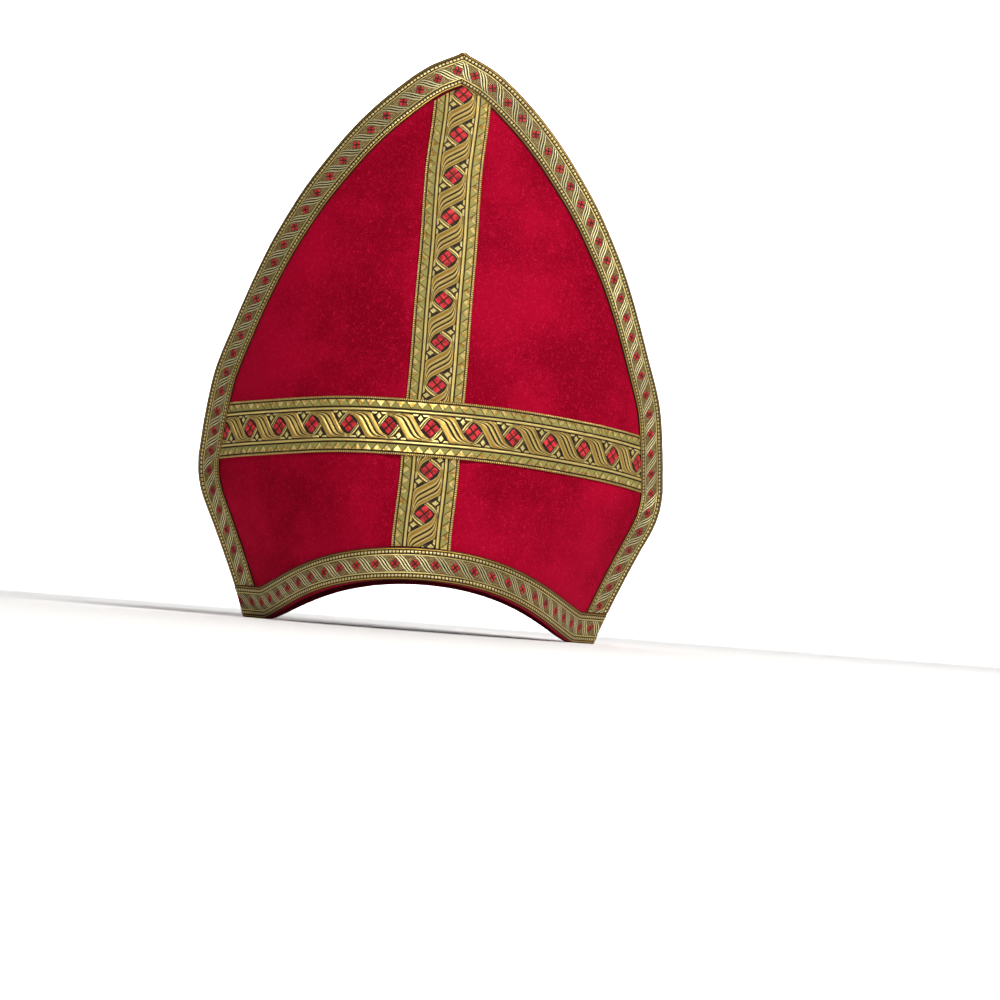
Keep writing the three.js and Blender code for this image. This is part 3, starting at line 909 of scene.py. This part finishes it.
class MITRE_OT_shields(bpy.types.Operator):
    """Make the front and back velvet shields"""

    bl_idname = "mitre.shields"
    bl_label = "Shields"

    def execute(self, context):
        shape, colours = context.scene.mitre_shape, context.scene.mitre_colours
        shield = Shield(shape)
        level, across = np.meshgrid(
            np.linspace(0, shield.height, SHIELD_ROWS),
            crowded(np.linspace(-1, 1, SHIELD_COLUMNS)), indexing="ij")
        s = across * shield.half_arc(level)
        z = level + shield.rim(s) * np.maximum(0, 1 - level / (shape.rim_arch_fade / MM))
        calm = ease((shield.half_arc(z) - np.abs(s)) / CALM_MARGIN)
        swell = pile_height(shield, s, z)
        seam = (level < shield.widest + 2) & (np.abs(across) == 1)
        bulge = np.where(seam, SEAM_BULGE, EDGE_BULGE)
        quads = (SHIELD_ROWS - 1) * (SHIELD_COLUMNS - 1)
        cloths = [
            material("crimson velvet", velvet_material, colours),
            material("shield lining", plain_material, colours.lining),
        ]
        for back, side in enumerate(("front", "back")):
            slow = waver(s + 0.7 * z, 3 + back, 0.5, 90) + waver(z - 0.4 * s, 8 + back, 0.4, 70)
            outer = shield.at(s, z, shape.thickness / MM + swell + 0.35 * slow * calm * swell)
            points, faces = sewn_shell(outer, shield.at(s, z, 0), bulge)
            inside = np.arange(len(faces)) // quads == 1
            place_piece(
                "velvet_shield_" + side, "panel_" + side, turned(points, back), faces,
                cloths, inside, sharp=70)
        return {"FINISHED"}


class MITRE_OT_crown(bpy.types.Operator):
    """Make the cloth folded between the horns"""

    bl_idname = "mitre.crown"
    bl_label = "Crown fold"

    def execute(self, context):
        shape, colours = context.scene.mitre_shape, context.scene.mitre_colours
        shield = Shield(shape)
        fold, across = np.meshgrid(
            np.linspace(-1, 1, CROWN_ROWS), np.linspace(-1, 1, CROWN_COLUMNS), indexing="ij")
        share = crowded(across) * CROWN_REACH
        corner = float(shield.half_width(shield.widest))
        levels = np.linspace(shield.widest, shield.height, CROWN_LEVELS)
        z = np.interp(-np.abs(share) * corner, -shield.half_width(levels), levels)
        z = np.minimum(z, shield.height - CROWN_TOP_GAP)
        s = np.sign(share) * np.maximum(shield.half_arc(z) - CROWN_EDGE_GAP, 0)
        edge = shield.at(s, z - CROWN_EDGE_GAP, CROWN_EDGE_OUT) / MM
        valley = shield.widest - VALLEY_DROP - VALLEY_SAG * (1 - share ** 2)
        soft = VALLEY_BEND
        climb = (np.hypot(fold, soft) - soft) / (math.hypot(1, soft) - soft)
        x, y, z = edge[..., 0], -edge[..., 1] * fold, lerp(valley, edge[..., 2], climb)
        points = np.stack([x, y, z], axis=-1)
        sag = waver(x + 0.3 * z, 21, 1.3, 90) + waver(z - 0.8 * x, 22, 1.4, 55) * np.abs(fold)
        sag = sag + waver(x + 30 * fold, 23, 1.7, 30) * (1 - fold ** 2) * (1 - share ** 2)
        free = (1 - fold ** 4) * (1 - np.abs(share) ** 6)
        normal = np.cross(np.gradient(points, axis=1), np.gradient(points, axis=0))
        normal /= np.linalg.norm(normal, axis=-1, keepdims=True)
        points = points + normal * (free * sag)[..., None]
        normal = normal * CROWN_HALF_THICKNESS
        shell, faces = sewn_shell((points - normal) * MM, (points + normal) * MM, CROWN_BULGE)
        cloth = material("crown cloth", plain_material, colours.crown)
        crown = place_piece(
            "crown_cloth", "crown_fold", shell, faces, [cloth], sharp=70)
        return {"FINISHED"}


class MITRE_OT_upright_braids(bpy.types.Operator):
    """Make the wide braid up the middle of each face"""

    bl_idname = "mitre.upright_braids"
    bl_label = "Upright braids"

    def execute(self, context):
        shape = context.scene.mitre_shape
        shield = Shield(shape)
        narrow = (shape.narrow_braid + shape.velvet_margin) / MM
        side = lanes(WIDE_EDGE, WIDE_FIELD)
        s, up = shield.inset(narrow + EDGE_GAP)
        order = np.argsort(s)
        bottom = shield.rim(side) + narrow + RIM_GAP
        top = np.interp(np.abs(side), s[order], up[order])
        rows = int((top.max() - bottom.min()) / ROW_STEP)
        z = lerp(bottom, top, np.linspace(0, 1, rows)[:, None])
        along = (UPRIGHT_START - z) * WIDE_PITCH / UPRIGHT_PITCH
        lean = TOP_LEAN * ease((z - TOP_LEAN_FROM) / LEAN_LENGTH)
        lean = lean - FOOT_LEAN * (1 - ease((z - FOOT_LEAN_FROM) / LEAN_LENGTH))
        for back, face in enumerate(("front", "back")):
            drift = waver(z, 31 + back, 0.35, 120) + lean
            braid_piece(
                "upright_braid_" + face, "pillar_braid_" + face, "wide", back,
                side, along, side + drift, z)
        return {"FINISHED"}


class MITRE_OT_cross_braids(bpy.types.Operator):
    """Make the wide braid across the widest place of each face"""

    bl_idname = "mitre.cross_braids"
    bl_label = "Cross braids"

    def execute(self, context):
        shape = context.scene.mitre_shape
        shield = Shield(shape)
        narrow = (shape.narrow_braid + shape.velvet_margin) / MM
        side = lanes(WIDE_EDGE, WIDE_FIELD)
        wall_s, wall_z = shield.inset(narrow + EDGE_GAP)
        over = shape.braid_thickness / MM + OVER_GAP
        ramp, wide = shape.crossing_ramp / MM, shape.wide_braid / MM
        level = shape.cross_height / MM + side
        reach = np.interp(level, wall_z, wall_s)
        for _ in range(5):
            reach = np.interp(shield.cross_line(reach, level), wall_z, wall_s)
        s = np.linspace(-1, 1, int(2 * reach.max() / ROW_STEP))[:, None] * reach
        lift = over * (1 - ease((np.abs(s) - (wide + ramp) / 2) / ramp))
        along = (s - CROSS_START) * WIDE_PITCH / CROSS_PITCH
        line = shield.cross_line(s, np.broadcast_to(level, s.shape))
        for back, face in enumerate(("front", "back")):
            z = line + waver(s, 41 + back, 0.35, 130)
            braid_piece(
                "cross_braid_face_" + face, "cross_braid_" + face, "wide", back,
                side, along, s, z, lift)
        return {"FINISHED"}


class MITRE_OT_edge_braids(bpy.types.Operator):
    """Make the narrow braid up each edge of each face"""

    bl_idname = "mitre.edge_braids"
    bl_label = "Edge braids"

    def execute(self, context):
        shape = context.scene.mitre_shape
        shield = Shield(shape)
        margin, narrow = shape.velvet_margin / MM, shape.narrow_braid / MM
        side = lanes(NARROW_EDGE, NARROW_FIELD)
        share = np.linspace(0, 1, EDGE_ROWS)
        middle = run_of(*shield.inset(margin + narrow / 2, CORNER_SWING))
        count = np.arange(len(middle))
        s, z, along = (np.zeros((EDGE_ROWS, len(side))) for _ in range(3))
        for k, offset in enumerate(side):
            lane_s, lane_z = shield.inset(margin + narrow / 2 + offset, CORNER_SWING)
            lane, index = run_of(lane_s, lane_z), np.arange(len(lane_s))
            half = len(lane_s) // 2
            start = np.interp(margin + narrow + CORNER_GAP, lane_z, index)
            end = np.interp(-TIP_GAP, -lane_s[-half:], index[-half:])
            at = lerp(start, end, share)
            s[:, k], z[:, k] = np.interp(at, index, lane_s), np.interp(at, index, lane_z)
            beyond = np.interp(at, index, lane) - np.interp(count[-1], index, lane)
            along[:, k] = np.interp(at, count, middle) + np.maximum(beyond, 0)
        for back, face in enumerate(("front", "back")):
            for way, hand in ((1, "left"), (-1, "right")):
                drift = waver(along, 51 + back * 2 + way, 0.2, 110) * (along < middle[-1] - 30)
                pattern = (along - EDGE_START[hand]) * NARROW_PITCH / EDGE_PITCH
                name = "edge_braid_" + hand + "_" + face
                braid_piece(
                    name + "_woven", name, "narrow", back,
                    side * way, pattern, way * (s + drift), z, mirrored=way < 0)
        return {"FINISHED"}


class MITRE_OT_rim_braids(bpy.types.Operator):
    """Make the narrow braid along the rim of each face"""

    bl_idname = "mitre.rim_braids"
    bl_label = "Rim braids"

    def execute(self, context):
        shape = context.scene.mitre_shape
        shield = Shield(shape)
        margin, narrow = shape.velvet_margin / MM, shape.narrow_braid / MM
        side = lanes(NARROW_EDGE, NARROW_FIELD)
        foot = margin + narrow / 2 + side
        s = np.linspace(-1, 1, RIM_ROWS)[:, None] * (shield.half_arc(foot) - margin)
        z = shield.rim(s) + foot
        middle = len(side) // 2
        step = np.hypot(np.gradient(s[:, middle]), np.gradient(z[:, middle]))
        along = np.cumsum(step)[:, None] - step.sum() / 2
        for back, face in enumerate(("front", "back")):
            drift = waver(s, 61 + back, 0.25, 100)
            name = "rim_braid_" + face
            braid_piece(
                name + "_woven", name, "narrow", back,
                side, (along - RIM_START) * NARROW_PITCH / RIM_PITCH, s, z + drift)
        return {"FINISHED"}


# The floor and the wall behind, in metres.
FLOOR_FRONT, FLOOR_BACK, FLOOR_SIDE, CURVE, WALL_TOP = -5.0, 2.5, 7.0, 1.5, 6.0

# Each light's place, aim and size in metres, its power in watts, and its tint.
LIGHTS = (
    ("key light", (0.85, -1.2, 1.8), (0, 0, 0.2), 0.8, 54, (1.0, 0.98, 0.95)),
    ("fill light", (-1.6, -1.3, 1.2), (0, 0, 0.25), 0.8, 3, (1.0, 0.99, 0.97)),
    ("left wall light", (-1.6, 1.4, 1.6), (-1.0, 4.0, 1.2), 1.2, 170, (1.0, 1.0, 1.0)),
    ("right wall light", (1.6, 1.4, 1.6), (1.0, 4.0, 1.2), 1.2, 170, (1.0, 1.0, 1.0)),
)
ROOM_LIGHT = 0.16


class MITRE_OT_stage(bpy.types.Operator):
    """Make the floor, the lights and the camera"""

    bl_idname = "mitre.stage"
    bl_label = "Stage"

    def execute(self, context):
        stage = context.scene.mitre_stage
        self.backdrop(stage)
        self.lights()
        self.camera(context.scene, stage)
        context.scene.view_settings.view_transform = "Standard"
        return {"FINISHED"}

    def backdrop(self, stage):
        """A pale floor that curves up into a wall behind the mitre."""
        turns = np.linspace(0, math.pi / 2, 24)
        bend = [(FLOOR_FRONT, 0.0)]
        bend += [(FLOOR_BACK + CURVE * math.sin(a), CURVE - CURVE * math.cos(a)) for a in turns]
        bend += [(FLOOR_BACK + CURVE, WALL_TOP)]
        points = [(x, y, z) for y, z in bend for x in (-FLOOR_SIDE, FLOOR_SIDE)]
        faces = [(i, i + 1, i + 3, i + 2) for i in range(0, len(points) - 2, 2)]
        mesh = bpy.data.meshes.new("floor")
        mesh.from_pydata(points, [], faces)
        mesh.polygons.foreach_set("use_smooth", np.ones(len(faces), dtype=bool))
        floor = bpy.data.objects.new("floor", mesh)
        cloth = Cloth("studio paper")
        place = cloth.node("ShaderNodeTexCoord")["Object"]
        grain = cloth.noise(place, 30, 2.0)
        colour = cloth.mix(grain, rgba(stage.floor, 0.98), rgba(stage.floor))
        mesh.materials.append(cloth.finish({"Base Color": colour, "Roughness": 0.85}))
        bpy.context.scene.collection.objects.link(floor)

    def lights(self):
        """A key from the front right, a weak fill from the left and two lights on the wall."""
        for name, place, aim, size, power, tint in LIGHTS:
            lamp = bpy.data.lights.new(name, "AREA")
            lamp.size, lamp.energy, lamp.color = size, power, tint
            light = bpy.data.objects.new(name, lamp)
            light.location = place
            light.rotation_euler = (Vector(aim) - Vector(place)).to_track_quat("-Z", "Y").to_euler()
            bpy.context.scene.collection.objects.link(light)
        world = bpy.context.scene.world or bpy.data.worlds.new("room")
        bpy.context.scene.world = world
        world.use_nodes = True
        around = world.node_tree.nodes["Background"]
        around.inputs["Color"].default_value = (1.0, 1.0, 1.0, 1.0)
        around.inputs["Strength"].default_value = ROOM_LIGHT

    def camera(self, scene, stage):
        """Looks slightly up at the mitre from just over the floor, tilted as the mitre is worn."""
        lens = bpy.data.cameras.new("camera")
        lens.lens, lens.sensor_width, lens.clip_start = stage.lens, 36, 0.01
        eye = bpy.data.objects.new("camera", lens)
        turn = Matrix.Rotation(stage.pan, 4, "Z")
        turn = turn @ Matrix.Rotation(math.pi / 2 + stage.tilt, 4, "X")
        turn = turn @ Matrix.Rotation(stage.roll, 4, "Z")
        place = Matrix.Translation((stage.sideways, -stage.distance, stage.eye_height))
        eye.matrix_world = place @ turn
        scene.collection.objects.link(eye)
        scene.camera = eye


class MITRE_PT_maker(bpy.types.Panel):
    """Buttons that make the mitre piece by piece."""

    bl_idname = "MITRE_PT_maker"
    bl_label = "Bishop's mitre"
    bl_space_type = "VIEW_3D"
    bl_region_type = "UI"
    bl_category = "Mitre"

    def draw(self, context):
        column = self.layout.column()
        for step in STEPS:
            column.operator(step.bl_idname)
        for name in ("mitre_shape", "mitre_colours", "mitre_stage"):
            group = getattr(context.scene, name)
            box = self.layout.box()
            for key in group.bl_rna.properties.keys():
                if key not in ("rna_type", "name"):
                    box.prop(group, key)


STEPS = (
    MITRE_OT_stage,
    MITRE_OT_shields,
    MITRE_OT_crown,
    MITRE_OT_upright_braids,
    MITRE_OT_cross_braids,
    MITRE_OT_edge_braids,
    MITRE_OT_rim_braids,
)
GROUPS = {"mitre_shape": MitreShape, "mitre_colours": MitreColours, "mitre_stage": MitreStage}


def register():
    for group in GROUPS.values():
        bpy.utils.register_class(group)
    for name, group in GROUPS.items():
        setattr(bpy.types.Scene, name, PointerProperty(type=group))
    for step in (*STEPS, MITRE_PT_maker):
        bpy.utils.register_class(step)


def unregister():
    for step in (MITRE_PT_maker, *STEPS[::-1]):
        bpy.utils.unregister_class(step)
    for name, group in GROUPS.items():
        delattr(bpy.types.Scene, name)
        bpy.utils.unregister_class(group)


def main():
    register()
    for step in STEPS:
        category, name = step.bl_idname.split(".")
        getattr(getattr(bpy.ops, category), name)()


if __name__ == "__main__":
    main()
